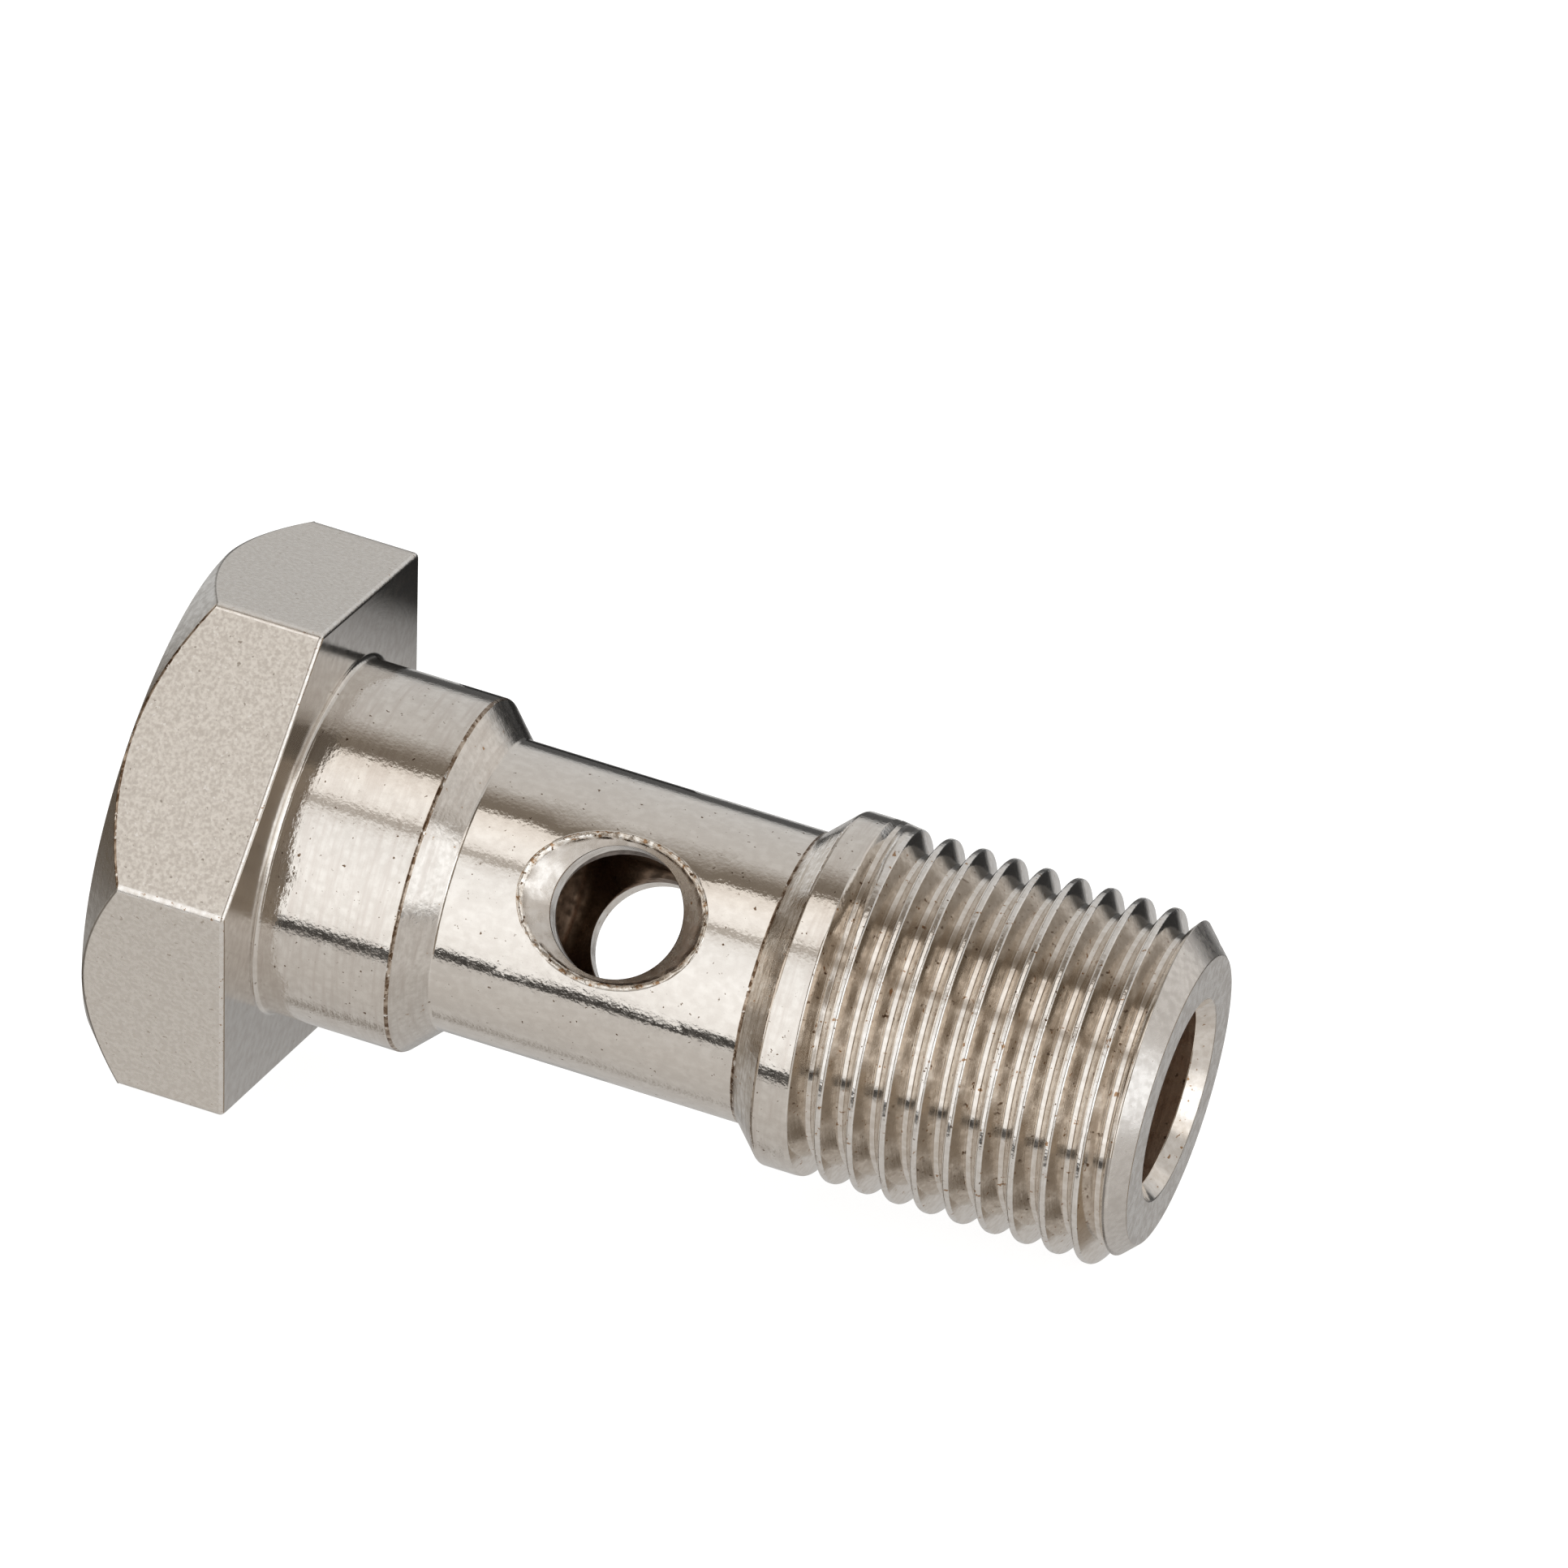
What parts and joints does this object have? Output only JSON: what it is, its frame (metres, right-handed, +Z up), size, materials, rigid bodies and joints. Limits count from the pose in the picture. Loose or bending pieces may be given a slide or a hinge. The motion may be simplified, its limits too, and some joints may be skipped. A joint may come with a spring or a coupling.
{
  "type": "banjo bolt",
  "caption": "Hollow hexagon-head bolt with a waisted shank, a blind axial bore and a countersunk cross hole, lying at rest.",
  "frame": {"origin": "middle of the bolt's box on the surface that it lies on", "axes": "the bolt lies at rest: its axis runs along +X towards the threaded end and dips 5.16 degrees, one flat of the head faces down on its inner edge, and +Z is up"},
  "size_m": [0.0294, 0.0162, 0.0143],
  "materials": {
    "plated_brass": "bright plating over turned metal, satin on the hexagon's flats"
  },
  "bodies": {
    "root": {"banjo_bolt": "plated_brass"}
  },
  "joints": []
}
